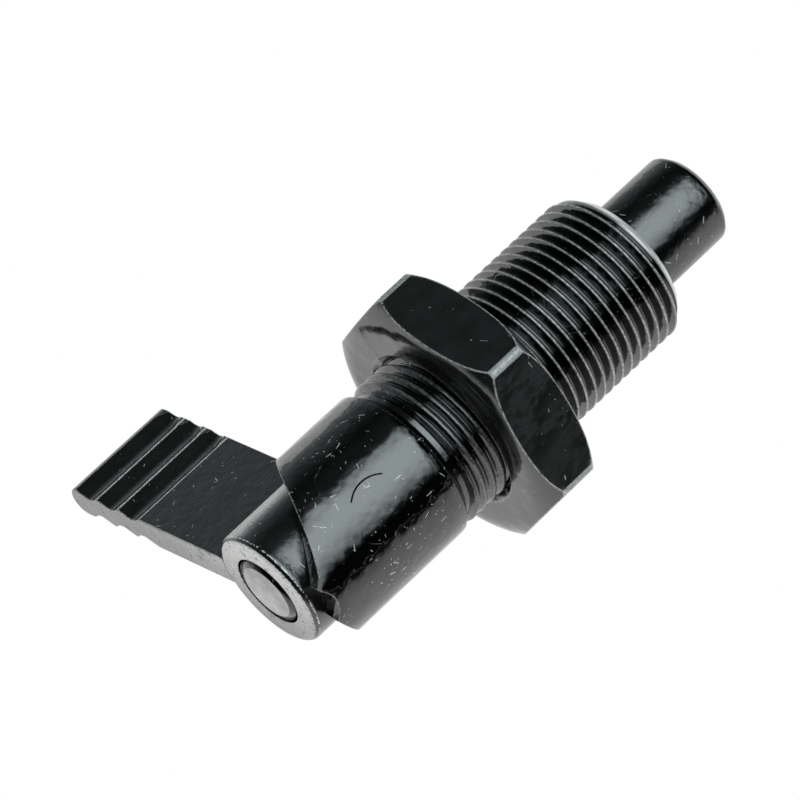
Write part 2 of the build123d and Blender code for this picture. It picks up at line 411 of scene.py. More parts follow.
def ring(angles, radius, places):
    """Points on a circle about the axis; the angles are counted from the cam's lowest line."""
    turned = angles + math.radians(CAM_ANGLE)
    return np.stack(
        [np.broadcast_to(places, angles.shape), radius * np.cos(turned), radius * np.sin(turned)],
        axis=1,
    )


def even_ring(radius, place):
    """Points on a circle about the axis, spaced as the thread's are."""
    angles = np.arange(THREAD_STEPS) * 2 * math.pi / THREAD_STEPS
    return np.stack(
        [np.full(THREAD_STEPS, place), radius * np.cos(angles), radius * np.sin(angles)], axis=1
    )


def wall_rings(angles, radius, start, end):
    """Rings evenly spaced along a round wall, after the one that it starts from."""
    shares = np.linspace(0, 1, WALL_ROWS + 1)[1:]
    return [ring(angles, radius, start + (end - start) * share) for share in shares]


def rounded_edge(radius, inwards, start, end):
    """Radii and setbacks of an edge of the cam's end, from start to end in degrees."""
    turned = np.radians(np.linspace(start, end, CORNER_STEPS + 1)[1:])
    return [(radius + inwards * (1 - math.cos(t)), CAM_EDGE * (1 - math.sin(t))) for t in turned]


def cam_rings():
    """Rings from the shoulder over the sleeve, round the cam's end and down the hub's bore."""
    angles, outer_end = cam_edge(SLEEVE_R)
    slant = (SLEEVE_R - RELIEF_R) / SHOULDER_CONE
    cone_top = SHOULDER_X - SHOULDER_CONE
    start = cone_top - SLEEVE_EDGE
    rings = [
        ring(angles, RELIEF_R + CONE_FOOT, SHOULDER_X - CONE_FOOT / slant),
        ring(angles, SLEEVE_R - SLEEVE_EDGE, cone_top + SLEEVE_EDGE / slant),
        ring(angles, SLEEVE_R - 0.25 * SLEEVE_EDGE, cone_top - 0.1 * SLEEVE_EDGE),
        ring(angles, SLEEVE_R, start),
    ]
    rings += wall_rings(angles, SLEEVE_R, start, outer_end + CAM_EDGE)

    face = [(radius, 0.0) for radius in np.linspace(SLEEVE_R - CAM_EDGE, HUB_BORE_R + CAM_EDGE, 3)]
    outer_edge = rounded_edge(SLEEVE_R, inwards=-CAM_EDGE, start=0, end=90)
    inner_edge = rounded_edge(HUB_BORE_R, inwards=CAM_EDGE, start=90, end=0)
    for radius, setback in outer_edge + face[1:] + inner_edge:
        edge_angles, edge = cam_edge(radius)
        rings.append(ring(edge_angles, radius, edge + setback))

    bore_angles, bore_end = cam_edge(HUB_BORE_R)
    return rings + wall_rings(bore_angles, HUB_BORE_R, bore_end + CAM_EDGE, HUB_FLOOR_X)


def inner_rings():
    """Rings from the hub bore's floor through the web and the pin's bore to the front face."""
    profile = [
        (HUB_BORE_R - HUB_FLOOR_RIM, HUB_FLOOR_X),
        (ROD_BORE_R, HUB_FLOOR_X),
        (ROD_BORE_R, WEB_X),
        (PIN_BORE_R, WEB_X),
        (PIN_BORE_R, -BORE_MOUTH),
        (PIN_BORE_R + BORE_MOUTH, 0.0),
        (THREAD_R - THREAD_CHAMFER, 0.0),
    ]
    return [even_ring(radius, place) for radius, place in profile]


def outer_relief_rings():
    """Rings along the finely grooved relief, from the thread's end to the shoulder."""
    places = np.linspace(-THREAD_LENGTH, SHOULDER_X, 2 * RELIEF_GROOVES + 1)
    return [even_ring(RELIEF_R + RELIEF_RIDGE * (i % 2), x) for i, x in enumerate(places)]


def add_rings(shape, rings):
    """Add rings of points to a bmesh with faces between them; returns the rings of vertices."""
    made = [[shape.verts.new(point * MM) for point in points] for points in rings]
    for first, second in zip(made, made[1:]):
        count = len(first)
        for i in range(count):
            j = (i + 1) % count
            shape.faces.new((first[i], first[j], second[j], second[i]))
    return made


def join_rings(shape, first, second):
    """Fill between two rings of different counts with triangles, by angle about the axis."""

    def by_angle(loop):
        turned = [math.atan2(v.co.z, v.co.y) % (2 * math.pi) for v in loop]
        order = sorted(range(len(loop)), key=lambda i: turned[i])
        angles = [turned[i] for i in order]
        return [loop[i] for i in order], angles + [angles[0] + 2 * math.pi]

    a, angle_a = by_angle(first)
    b, angle_b = by_angle(second)
    i = j = 0
    while i < len(a) or j < len(b):
        next_a = angle_a[i + 1] if i < len(a) else math.inf
        next_b = angle_b[j + 1] if j < len(b) else math.inf
        here_a, here_b = a[i % len(a)], b[j % len(b)]
        if next_a <= next_b:
            i += 1
            shape.faces.new((here_a, a[i % len(a)], here_b))
        else:
            j += 1
            shape.faces.new((here_a, b[j % len(b)], here_b))


def close_seams(shape, distance):
    """Merge points closer than the distance, drop empty faces and turn all faces outwards."""
    bmesh.ops.remove_doubles(shape, verts=shape.verts, dist=distance * MM)
    bmesh.ops.dissolve_degenerate(shape, edges=shape.edges, dist=EMPTY_EDGE * MM)
    bmesh.ops.recalc_face_normals(shape, faces=shape.faces)


def finished_piece(name, shape, material, sharp=32.0):
    """Turn a bmesh into an object, smooth but for corners that turn by more than sharp degrees."""
    mesh = bpy.data.meshes.new(name)
    shape.to_mesh(mesh)
    shape.free()
    mesh.shade_smooth()
    mesh.set_sharp_from_angle(angle=math.radians(sharp))
    mesh.materials.clear()
    mesh.materials.append(material)
    piece = bpy.data.objects.new(name, mesh)
    bpy.context.scene.collection.objects.link(piece)
    return piece


def body_piece(material):
    """Threaded shank, relief groove, sleeve, cam and bores as one closed mesh."""
    shape = bmesh.new()
    shape.from_mesh(thread_mesh(material))
    relief = add_rings(shape, outer_relief_rings())
    cam = add_rings(shape, cam_rings())
    inner = add_rings(shape, inner_rings())
    join_rings(shape, relief[-1], cam[0])
    join_rings(shape, cam[-1], inner[0])
    close_seams(shape, BODY_SEAM)
    return finished_piece("threaded_body", shape, material)


# ======== indexing pin ========
def pin_piece(material):
    """Pin, shoulder and rod, turned in one, with softened corners at both ends."""
    chamfer_x = PIN_TIP_X - PIN_CHAMFER
    profile = [
        (0.0, ROD_END_X),
        (ROD_FACE_R, ROD_END_X),
        (ROD_RIM_R - ROD_RIM_EDGE, ROD_RIM_X - 0.3 * ROD_RIM_EDGE),
        (ROD_RIM_R, ROD_RIM_X + ROD_RIM_EDGE),
        (ROD_R, ROD_RIM_X + ROD_TAPER),
        (ROD_R, PIN_REAR_X),
        (PIN_R - PIN_REAR_EDGE, PIN_REAR_X),
        (PIN_R, PIN_REAR_X + PIN_REAR_EDGE),
        *[(PIN_R - drop, chamfer_x + run) for drop, run in PIN_CORNER],
        (PIN_R - PIN_CHAMFER, PIN_TIP_X - TIP_EDGE),
        (PIN_R - PIN_CHAMFER - TIP_EDGE_WIDTH, PIN_TIP_X),
        (0.0, PIN_TIP_X),
    ]
    shape = bmesh.new()
    add_rings(shape, [even_ring(radius, place) for radius, place in profile])
    close_seams(shape, SEAM)
    return finished_piece("turned_pin", shape, material, sharp=50.0)


# ======== return spring ========
def spring_tree():
    """A round wire wound along the axis."""
    tree, given = new_geometry_tree(
        "wound_wire", ["Length", "Coil Radius", "Wire Radius", "Rear"], ["Turns", "Steps"]
    )
    path = add_node(
        tree,
        "GeometryNodeCurveSpiral",
        {
            "Resolution": given["Steps"],
            "Rotations": given["Turns"],
            "Start Radius": given["Coil Radius"],
            "End Radius": given["Coil Radius"],
            "Height": given["Length"],
        },
    )
    section = add_node(
        tree,
        "GeometryNodeCurvePrimitiveCircle",
        {"Resolution": WIRE_SIDES, "Radius": given["Wire Radius"]},
    )
    wire = add_node(
        tree,
        "GeometryNodeCurveToMesh",
        {"Curve": path.outputs[0], "Profile Curve": section.outputs[0], "Fill Caps": True},
    )
    place = add_node(tree, "ShaderNodeCombineXYZ", {"X": given["Rear"]})
    laid = add_node(
        tree,
        "GeometryNodeTransform",
        {
            "Geometry": wire.outputs[0],
            "Translation": place.outputs[0],
            "Rotation": (0.0, math.pi / 2, 0.0),
        },
    )
    finish_geometry_tree(tree, laid.outputs[0], given["Material"])
    return tree


def spring_piece(material):
    """The return spring between the web and the pin's shoulder."""
    mesh = node_group_mesh(
        "spring",
        spring_tree(),
        material,
        {
            "Length": (SPRING_LENGTH - 2 * WIRE_R) * MM,
            "Coil Radius": SPRING_R * MM,
            "Wire Radius": WIRE_R * MM,
            "Rear": (SPRING_REAR_X + WIRE_R) * MM,
            "Turns": SPRING_TURNS,
            "Steps": SPRING_STEPS,
        },
    )
    shape = bmesh.new()
    shape.from_mesh(mesh)
    return finished_piece("wound_spring", shape, material)


# ======== materials ========
# Bare steel: the colour of worn metal, and also of painted highlights and a painted reflection.
BARE_STEEL_AND_HIGHLIGHT = (0.9, 0.9, 0.88, 1.0)
BARE_METALLIC = 0.3
DUST = (0.80, 0.80, 0.78, 1.0)
OIL_IOR = 1.92
SCRATCH_DEPTH = 0.006
HAIRLINE_DEPTH = 0.02

# An edge shows where the rounded normal leaves the face's own: the cosines of its start and end.
EDGE_STARTS = 0.99
EDGE_FULL = 0.94

# ---- where the body is dusty and bare, and where bare steel is painted on as highlights and a reflection ----
CAM_DUST_FULL = 0.3
CAM_DUST_END = 3.0
# The bare ridge tops, which are partly a painted highlight line on each ridge:
CREST_BARE_DEPTH = 0.08
REAR_CREST_WEAR_AND_HIGHLIGHT = 0.25
FRONT_FACE_X = -0.02
HAIR_X = -45.2
HAIR_AROUND = 23.3
HAIR_CURL = 3.8
HAIR_CUT = 2.85  # only the arc that lies farther across than this is there
HAIR_DEPTH = 0.07

# ---- where the pin is ground ----
ROD_FACE_DEPTH = 0.3
ROD_RIM_ZONE_X = -57.0
ROD_RIM_STEEPER = 0.6

# ---- where the lever is bare or has painted light, with places along the hub counted from its end face ----
# The hub's end is painted lighter towards the top, as a reflection, between these heights:
END_SHADED_Z = -4.0
END_LIT_Z = 6.5
END_LIGHT_DRIFT = 5.0
GROUND_RAGGED = 0.22
# The painted highlight on the hub's side lies between two angles about the axis, in degrees: the
# start of each, and where it is full.
HUB_SIDE_LOW = (8.0, 30.0)
HUB_SIDE_HIGH = (78.0, 50.0)
HUB_SIDE_RAGGED = 16.0
HUB_BAND = 0.4
HUB_BAND_FROM = 0.35
HUB_RIM = 0.5
HUB_RIM_DEPTH = 0.5
HUB_OVER = 0.1
HUB_RISE_LENGTH = 2.3
HUB_RISE = 0.045
PADDLE_REAR_SKIN = 0.12
# The painted highlight lines on the crests of the paddle's upper grooves:
GRIP_TURN = math.radians(-19.0)
GRIP_WAY = (0.0, math.cos(GRIP_TURN), math.sin(GRIP_TURN))
GRIP_UP = (0.0, -math.sin(GRIP_TURN), math.cos(GRIP_TURN))
GRIP_CREST = 22.8
GRIP_SPACING = 4.05
GRIP_REACH = 5.0
GRIP_TOP = 1.2

# ---- where the nut is rounded and brushed, counted inwards from its corners ----
NUT_CORNER_R = 17.32
NUT_ROUND_FROM = 0.6
NUT_ROUND_FULL = 0.45
NUT_STRIP_FROM = 0.33
NUT_STRIP_FULL = 0.27


# Most of a noise lies between its low and its high, and it changes by its steepness over its
# spacing. Far enough away it is another noise.
NOISE_LOW = 0.35
NOISE_HIGH = 0.65
NOISE_STEEPNESS = 0.9
OTHER_PLACE = (31.0, 17.0, 5.0)


def noise(tree, mm, spacing, detail=2.0, roughness=0.5):
    """Smooth noise with features of about the given spacing, in millimetres."""
    return add_node(
        tree,
        "ShaderNodeTexNoise",
        {"Vector": mm, "Scale": 1 / spacing, "Detail": detail, "Roughness": roughness},
    ).outputs["Fac"]


def varied(tree, pattern, low, high):
    """From low to high as the noise rises."""
    return rescale(tree, pattern, NOISE_LOW, NOISE_HIGH, low, high)


def random_cells(tree, mm, spacing):
    """Random cells about as large as the spacing; the node gives each a middle and a colour."""
    return add_node(tree, "ShaderNodeTexVoronoi", {"Vector": mm, "Scale": 1 / spacing}).outputs


def chosen_cells(tree, cells, channel, share):
    """1 in the given share of the cells, else 0."""
    drawn = add_node(tree, "ShaderNodeSeparateXYZ", {0: cells["Color"]}).outputs[channel]
    return maths(tree, "LESS_THAN", drawn, share)


def short_scratches(tree, mm, spacing, half_length, half_width, share):
    """Dashes at random angles, at most one to a cell."""
    cells = random_cells(tree, mm, spacing)
    away = vector_maths(tree, "SUBTRACT", mm, cells["Position"]).outputs[0]
    side = vector_maths(tree, "SUBTRACT", cells["Color"], (0.5, 0.5, 0.5)).outputs[0]
    side = vector_maths(tree, "NORMALIZE", side).outputs[0]
    off = maths(tree, "ABSOLUTE", vector_maths(tree, "DOT_PRODUCT", away, side).outputs["Value"])
    line = rescale(tree, off, half_width * 1.5, half_width * 0.5)
    reach = vector_maths(tree, "LENGTH", away).outputs["Value"]
    ends = rescale(tree, reach, half_length, half_length * 0.7)
    return product(tree, line, ends, chosen_cells(tree, cells, "X", share))


def specks(tree, mm, spacing, radius, share):
    """Round spots, at most one to a cell."""
    cells = random_cells(tree, mm, spacing)
    away = vector_maths(tree, "SUBTRACT", mm, cells["Position"]).outputs[0]
    away = vector_maths(tree, "LENGTH", away).outputs["Value"]
    spot = rescale(tree, away, radius * 1.3, radius * 0.6)
    return maths(tree, "MULTIPLY", spot, chosen_cells(tree, cells, "Y", share))


def hairlines(tree, mm, spacing, half_width, above):
    """Long curved lines: the level line of a slow noise, kept only where a second is high."""
    slow = noise(tree, mm, spacing, detail=1.0)
    steep = NOISE_STEEPNESS / spacing
    line = maths(tree, "ABSOLUTE", maths(tree, "SUBTRACT", slow, 0.5))
    line = rescale(tree, line, half_width * 1.5 * steep, half_width * 0.5 * steep)
    moved = vector_maths(tree, "ADD", mm, OTHER_PLACE).outputs[0]
    kept = rescale(tree, noise(tree, moved, spacing * 0.8, detail=0.0), above, above + 0.03)
    return maths(tree, "MULTIPLY", line, kept)


def radius_of(tree, mm):
    """Distance from the plunger's axis, in millimetres."""
    flat = vector_maths(tree, "MULTIPLY", mm, (0.0, 1.0, 1.0)).outputs[0]
    return vector_maths(tree, "LENGTH", flat).outputs["Value"]


def along_axis(tree, mm):
    """Place along the plunger's axis, in millimetres."""
    return add_node(tree, "ShaderNodeSeparateXYZ", {0: mm}).outputs["X"]


def around_axis(tree, mm):
    """Angle about the plunger's axis, in radians from +Y towards +Z."""
    parts = add_node(tree, "ShaderNodeSeparateXYZ", {0: mm}).outputs
    return maths(tree, "ARCTAN2", parts["Z"], parts["Y"])


def bevel_normal(tree, radius):
    """The surface normal with every edge rounded by the radius, in millimetres."""
    return add_node(tree, "ShaderNodeBevel", {"Radius": radius * MM}, samples=6).outputs["Normal"]


def edge_wear(tree, rounded_normal, grain, strength):
    """Bare metal along the edges, broken up by the grain."""
    face_normal = add_node(tree, "ShaderNodeNewGeometry").outputs["True Normal"]
    turned = vector_maths(tree, "DOT_PRODUCT", rounded_normal, face_normal).outputs["Value"]
    edge = rescale(tree, turned, EDGE_STARTS, EDGE_FULL)
    worn = maths(tree, "MULTIPLY", edge, rescale(tree, grain, 0.36, 0.5))
    return maths(tree, "MULTIPLY", worn, strength, clamp=True)


# Below, sleeve_only and near_cam mark zones of the body with 1. A function given for worn places
# says how bare the steel is, from 0 to 1; some paint bare steel on as highlights or a reflection. A
# slope function gives the height, in millimetres, of a form that is too slight for the mesh.
def sleeve_only(tree, mm):
    """1 on the sleeve and its cam, 0 on the relief groove and the thread."""
    return maths(tree, "LESS_THAN", along_axis(tree, mm), SHOULDER_X - 0.6 * SHOULDER_CONE)


def near_cam(tree, mm):
    """1 along the cam's edge, falling to 0 a few millimetres away from it."""
    turned = maths(tree, "SUBTRACT", around_axis(tree, mm), math.radians(CAM_ANGLE))
    turned = maths(tree, "ABSOLUTE", maths(tree, "WRAP", turned, math.pi, -math.pi))
    edge = maths(tree, "MULTIPLY_ADD", turned, -CAM_LEAD / (2 * math.pi), VALLEY_X)
    away = maths(tree, "SUBTRACT", along_axis(tree, mm), edge)
    return rescale(tree, away, CAM_DUST_END, CAM_DUST_FULL)


def curled_hair_slope(tree, mm):
    """One dark hair that lies curled on the sleeve."""
    around = maths(tree, "MULTIPLY", around_axis(tree, mm), SLEEVE_R)
    along = maths(tree, "SUBTRACT", along_axis(tree, mm), HAIR_X)
    across = maths(tree, "SUBTRACT", HAIR_AROUND, around)
    away = add_node(tree, "ShaderNodeCombineXYZ", {"X": along, "Y": across}).outputs[0]
    away = vector_maths(tree, "LENGTH", away).outputs["Value"]
    away = maths(tree, "ABSOLUTE", maths(tree, "SUBTRACT", away, HAIR_CURL))
    open_side = rescale(tree, across, HAIR_CUT, HAIR_CUT + 0.15)
    return product(tree, rescale(tree, away, 0.1, 0.0), open_side, -HAIR_DEPTH)


def crest_wear_and_highlights(tree, mm, grain):
    """Bare, rubbed tops of the thread's ridges that also paint in their highlight lines; less bare
    behind the nut than in front of it.
    """
    along = along_axis(tree, mm)
    behind = maths(tree, "LESS_THAN", along, NUT_MIDDLE_X)
    top = maths(tree, "MULTIPLY_ADD", behind, THREAD_REAR_R - THREAD_R, THREAD_R)
    below = maths(tree, "SUBTRACT", top, radius_of(tree, mm))
    ridge = rescale(tree, below, CREST_BARE_DEPTH + 0.02, CREST_BARE_DEPTH - 0.02)
    threaded = maths(tree, "GREATER_THAN", along, -THREAD_LENGTH)
    fainter = maths(tree, "MULTIPLY_ADD", behind, REAR_CREST_WEAR_AND_HIGHLIGHT - 1.0, 1.0)
    return product(tree, ridge, threaded, fainter, varied(tree, grain, 0.15, 0.75))


def chamfer_bare_and_reflection(tree, mm, grain):
    """The faced cone at the thread's front end, behind the flat face: bare steel, painted near
    white also as its reflection of the floor.
    """
    faced = add_node(tree, "ShaderNodeAttribute", attribute_name="faced").outputs["Fac"]
    cone = maths(tree, "LESS_THAN", along_axis(tree, mm), FRONT_FACE_X)
    return product(tree, faced, cone, rescale(tree, grain, 0.3, 0.55, 0.85, 1.0))


def rod_end_wear(tree, mm, grain):
    """The ground end face of the rod, inside its chamfer."""
    end = maths(tree, "LESS_THAN", along_axis(tree, mm), ROD_END_X + ROD_FACE_DEPTH)
    inside = rescale(tree, radius_of(tree, mm), ROD_FACE_R + 0.03, ROD_FACE_R - 0.03)
    patches = noise(tree, mm, 1.5, detail=3.0)
    return product(tree, end, inside, varied(tree, patches, 0.4, 0.68))


def rod_rim_slope(tree, mm):
    """The rod's chamfer, which is steeper to the light than its plain cone."""
    drop = -ROD_RIM_STEEPER * (ROD_RIM_R - ROD_FACE_R)
    out = rescale(tree, radius_of(tree, mm), ROD_FACE_R, ROD_RIM_R, 0.0, drop)
    rear_end = maths(tree, "LESS_THAN", along_axis(tree, mm), ROD_RIM_ZONE_X)
    return maths(tree, "MULTIPLY", out, rear_end)


def hub_end_wear_and_reflection(tree, mm, grain):
    """The ground end face of the hub and the rear edge of the paddle, bare, and brighter at the top
    as a painted reflection.
    """
    outside = maths(tree, "GREATER_THAN", radius_of(tree, mm), HUB_R + 0.05)
    face = maths(tree, "MULTIPLY_ADD", outside, PADDLE_REAR_X - HUB_END_X, HUB_END_X + 0.02)
    ragged = maths(tree, "MULTIPLY_ADD", grain, GROUND_RAGGED, face)
    end = rescale(tree, maths(tree, "SUBTRACT", ragged, along_axis(tree, mm)), -0.02, 0.03)
    # Painted reflection: barer, so lighter, towards the top and darker towards the bottom.
    height = add_node(tree, "ShaderNodeSeparateXYZ", {0: mm}).outputs["Z"]
    drift = noise(tree, mm, 2.0, detail=3.0)
    height = maths(tree, "MULTIPLY_ADD", drift, END_LIGHT_DRIFT, height)
    ground = rescale(tree, height, END_SHADED_Z, END_LIT_Z, 0.3, 1.0)
    pitted = rescale(tree, grain, 0.36, 0.42, 0.5, 1.0)
    smudge = rescale(tree, noise(tree, mm, 1.1, detail=4.0, roughness=0.7), 0.36, 0.42, 0.15, 1.0)
    return product(tree, end, ground, pitted, smudge)


def hub_side_highlights(tree, mm, grain):
    """A painted highlight in bare steel on the hub's side where it meets the paddle, and a painted
    highlight line along the hub's rim.
    """
    along = along_axis(tree, mm)
    radius = radius_of(tree, mm)
    turned = maths(tree, "DEGREES", around_axis(tree, mm))
    turned = maths(tree, "MULTIPLY_ADD", grain, HUB_SIDE_RAGGED, turned)
    # The painted highlight on the hub's side.
    side = product(
        tree,
        rescale(tree, turned, *HUB_SIDE_HIGH, smooth=True),
        rescale(tree, turned, *HUB_SIDE_LOW, smooth=True),
        maths(tree, "COMPARE", radius, HUB_R, HUB_BAND),
        maths(tree, "GREATER_THAN", along, HUB_END_X + HUB_BAND_FROM),
    )
    away = maths(tree, "ABSOLUTE", maths(tree, "SUBTRACT", along, HUB_END_X + HUB_RIM))
    # The painted highlight line along the hub's rim.
    rim = product(
        tree,
        rescale(tree, away, 0.11, 0.04),
        rescale(tree, radius, HUB_R - HUB_RIM_DEPTH, HUB_R - HUB_RIM_DEPTH + 0.1),
        rescale(tree, grain, 0.47, 0.56),
        maths(tree, "LESS_THAN", radius, HUB_R + HUB_OVER),
    )
    return maths(tree, "MAXIMUM", side, rim)


def hub_slope(tree, mm):
    """The hub's side, which rises slightly towards its end."""
    past = maths(tree, "SUBTRACT", HUB_END_X + HUB_RISE_LENGTH, along_axis(tree, mm))
    past = maths(tree, "MAXIMUM", past, 0.0)
    on_hub = maths(tree, "LESS_THAN", radius_of(tree, mm), HUB_R + HUB_OVER)
    return product(tree, past, past, on_hub, HUB_RISE)


def grip_crest_highlights(tree, mm, grain):
    """Painted highlight lines in bare steel on the crests between the paddle's upper grooves."""
    out = vector_maths(tree, "DOT_PRODUCT", mm, GRIP_WAY).outputs["Value"]
    above = vector_maths(tree, "DOT_PRODUCT", mm, GRIP_UP).outputs["Value"]
    from_first = maths(tree, "SUBTRACT", out, GRIP_CREST)
    away = maths(tree, "PINGPONG", from_first, GRIP_SPACING / 2)
    return product(
        tree,
        rescale(tree, away, 0.2, 0.1),
        maths(tree, "COMPARE", out, GRIP_CREST + GRIP_SPACING, GRIP_REACH),
        maths(tree, "GREATER_THAN", above, GRIP_TOP),
        maths(tree, "GREATER_THAN", along_axis(tree, mm), PADDLE_REAR_X + PADDLE_REAR_SKIN),
        rescale(tree, grain, 0.3, 0.5, 0.45, 1.0),
    )


def from_nut_corner(tree, mm, start, full):
    """0 farther than start inside the circle of the nut's corners, 1 from full outwards."""
    return rescale(tree, radius_of(tree, mm), NUT_CORNER_R - start, NUT_CORNER_R - full)


def nut_corner_wear(tree, mm, grain):
    """A brushed strip along each of the nut's six corners."""
    corner = from_nut_corner(tree, mm, NUT_STRIP_FROM, NUT_STRIP_FULL)
    return maths(tree, "MULTIPLY", corner, rescale(tree, grain, 0.3, 0.6, 0.35, 0.7))


def unevenness(tree, mm, waves):
    """Height of the surface's waves, given as pairs of spacing and height."""
    height = 0.0
    for spacing, tall in waves:
        wave = noise(tree, mm, spacing, detail=1.0)
        height = maths(tree, "MULTIPLY_ADD", wave, tall, height)
    return height


def scratch_lines(tree, mm, amount):
    """Scratches of two lengths, from 0 to 1."""
    long = short_scratches(
        tree, mm, spacing=1.7, half_length=0.5, half_width=0.04, share=0.4 * amount
    )
    fine = short_scratches(
        tree, mm, spacing=0.8, half_length=0.22, half_width=0.03, share=0.3 * amount
    )
    return maths(tree, "MAXIMUM", long, fine)


def dust_specks(tree, mm, amount):
    """Specks of two sizes, from 0 to 1."""
    large = specks(tree, mm, spacing=0.9, radius=0.085, share=0.3 * amount)
    small = specks(tree, mm, spacing=0.5, radius=0.05, share=0.2 * amount)
    return maths(tree, "MAXIMUM", large, small)


def black_steel(
    name,
    black=0.0012,
    roughness=0.13,
    waves=((1.5, 0.05),),
    slope=None,
    wear_and_highlights=(),
    edge_radius=0.12,
    edge_strength=0.7,
    edge_zone=None,
    corner_radius=None,
    bare_roughness=0.3,
    scratches=0.0,
    dust=0.0,
    dustier=None,
    hairs=0.0,
):
    """Oiled black oxide on steel, worn bare in places, with bare steel also painted on as
    highlights.

    black is the oxide's own lightness. waves are pairs of spacing and height of its unevenness,
    in millimetres, and slope is a function that adds to that height. The functions given for worn
    places say where it is bare, or where bare steel is painted on as a highlight or a reflection.
    Edges are rounded by edge_radius and worn by edge_strength. With the function edge_zone they are
    worn only where it is 1, and aren't rounded. corner_radius rounds the nut's corners. scratches,
    dust and hairs say how much it carries of each, and dustier is a function that says where dust
    gathers.
    """
    material = bpy.data.materials.new(name)
    tree = empty_tree(material)
    place = add_node(tree, "ShaderNodeTexCoord").outputs["Object"]
    mm = vector_maths(tree, "SCALE", place, scale=1 / MM).outputs[0]
    mottle = noise(tree, mm, 3.0, detail=4.0)
    grain = noise(tree, mm, 0.35, detail=5.0, roughness=0.6)

    # Where it is bare, or painted with bare steel as a highlight or a reflection, and the normal
    # with its edges rounded.
    normal = bevel_normal(tree, edge_radius)
    bare = edge_wear(tree, normal, grain, edge_strength)
    crowded = rescale(tree, noise(tree, mm, 5.0, detail=2.0), 0.42, 0.55)
    if edge_zone:
        zone = edge_zone(tree, mm)
        bare = maths(tree, "MULTIPLY", bare, zone)
        normal = add_node(tree, "ShaderNodeNewGeometry").outputs["Normal"]
        outside = maths(tree, "MULTIPLY_ADD", zone, 0.75, 0.25)
        crowded = maths(tree, "MULTIPLY", crowded, outside)
    if corner_radius:
        corner = from_nut_corner(tree, mm, NUT_ROUND_FROM, NUT_ROUND_FULL)
        normal = mix(tree, "VECTOR", corner, normal, bevel_normal(tree, corner_radius))
    for worn in wear_and_highlights:
        bare = maths(tree, "MAXIMUM", bare, worn(tree, mm, grain))

    # Waves, scratches, dust and hairs.
    height = unevenness(tree, mm, waves)
    if slope:
        height = maths(tree, "ADD", height, slope(tree, mm))
    if scratches:
        lines = maths(tree, "MULTIPLY", scratch_lines(tree, mm, scratches), crowded)
        bare = maths(tree, "MAXIMUM", bare, maths(tree, "MULTIPLY", lines, 0.8))
        height = maths(tree, "MULTIPLY_ADD", lines, -SCRATCH_DEPTH, height)
    spots = 0.0
    if dust:
        dusty = crowded
        if dustier:
            dusty = maths(tree, "MAXIMUM", dusty, dustier(tree, mm))
        spots = maths(tree, "MULTIPLY", dust_specks(tree, mm, dust), dusty, clamp=True)
    if hairs:
        hair = hairlines(tree, mm, spacing=6.0, half_width=0.05, above=0.64)
        height = maths(tree, "MULTIPLY_ADD", hair, -HAIRLINE_DEPTH * hairs, height)

    # Colour and finish.
    oxide = varied(tree, mottle, black * 0.8, black * 1.25)
    oxide = add_node(
        tree, "ShaderNodeCombineColor", {"Red": oxide, "Green": oxide, "Blue": oxide}
    ).outputs[0]
    ground = varied(tree, noise(tree, mm, 0.15, detail=3.0), 0.8, 1.1)
    steel = vector_maths(tree, "SCALE", BARE_STEEL_AND_HIGHLIGHT[:3], scale=ground).outputs[0]
    colour = mix(tree, "RGBA", bare, oxide, steel)
    colour = mix(tree, "RGBA", spots, colour, DUST)
    finish = varied(tree, mottle, roughness * 0.85, roughness * 1.15)
    finish = mix(tree, "FLOAT", bare, finish, bare_roughness)
    metallic = maths(tree, "SUBTRACT", bare, spots, clamp=True)
    bump = add_node(
        tree,
        "ShaderNodeBump",
        {"Strength": 1.0, "Distance": MM, "Height": height, "Normal": normal},
    )
    shader = add_node(
        tree,
        "ShaderNodeBsdfPrincipled",
        {
            "Base Color": colour,
            "Metallic": maths(tree, "MULTIPLY", metallic, BARE_METALLIC),
            "Roughness": finish,
            "IOR": OIL_IOR,
            "Normal": bump.outputs["Normal"],
        },
    )
    add_node(tree, "ShaderNodeOutputMaterial", {"Surface": shader.outputs[0]})
    return material


body_black = black_steel(
    "body_black",
    roughness=0.055,
    waves=((4.0, 0.1), (1.7, 0.08), (0.8, 0.014), (0.3, 0.003)),
    slope=curled_hair_slope,
    wear_and_highlights=(crest_wear_and_highlights, chamfer_bare_and_reflection),
    edge_strength=1.0,
    edge_zone=sleeve_only,
    bare_roughness=0.35,
    scratches=1.5,
    dust=1.4,
    dustier=near_cam,
    hairs=1.0,
)
pin_black = black_steel(
    "pin_black",
    roughness=0.16,
    waves=((3.0, 0.05), (1.2, 0.055), (0.5, 0.013)),
    slope=rod_rim_slope,
    wear_and_highlights=(rod_end_wear,),
    edge_strength=0.0,
    scratches=0.7,
    dust=0.4,
    hairs=0.8,
)
lever_black = black_steel(
    "lever_black",
    black=0.008,
    roughness=0.18,
    waves=((3.0, 0.05), (1.0, 0.04), (0.3, 0.012)),
    slope=hub_slope,
    wear_and_highlights=(hub_end_wear_and_reflection, hub_side_highlights, grip_crest_highlights),
    edge_radius=0.15,
    edge_strength=1.6,
    bare_roughness=0.45,
    scratches=0.5,
    dust=0.3,
    hairs=0.6,
)
nut_black = black_steel(
    "nut_black",
    black=0.016,
    roughness=0.13,
    waves=((6.0, 0.22), (2.0, 0.05), (0.8, 0.012)),
    wear_and_highlights=(nut_corner_wear,),
    edge_radius=0.3,
    edge_strength=1.6,
    corner_radius=1.0,
    bare_roughness=0.5,
    scratches=0.3,
    dust=0.3,
)
spring_steel = black_steel("spring_steel", black=0.03, roughness=0.3)
cross_pin_black = black_steel("cross_pin_black", roughness=0.35)

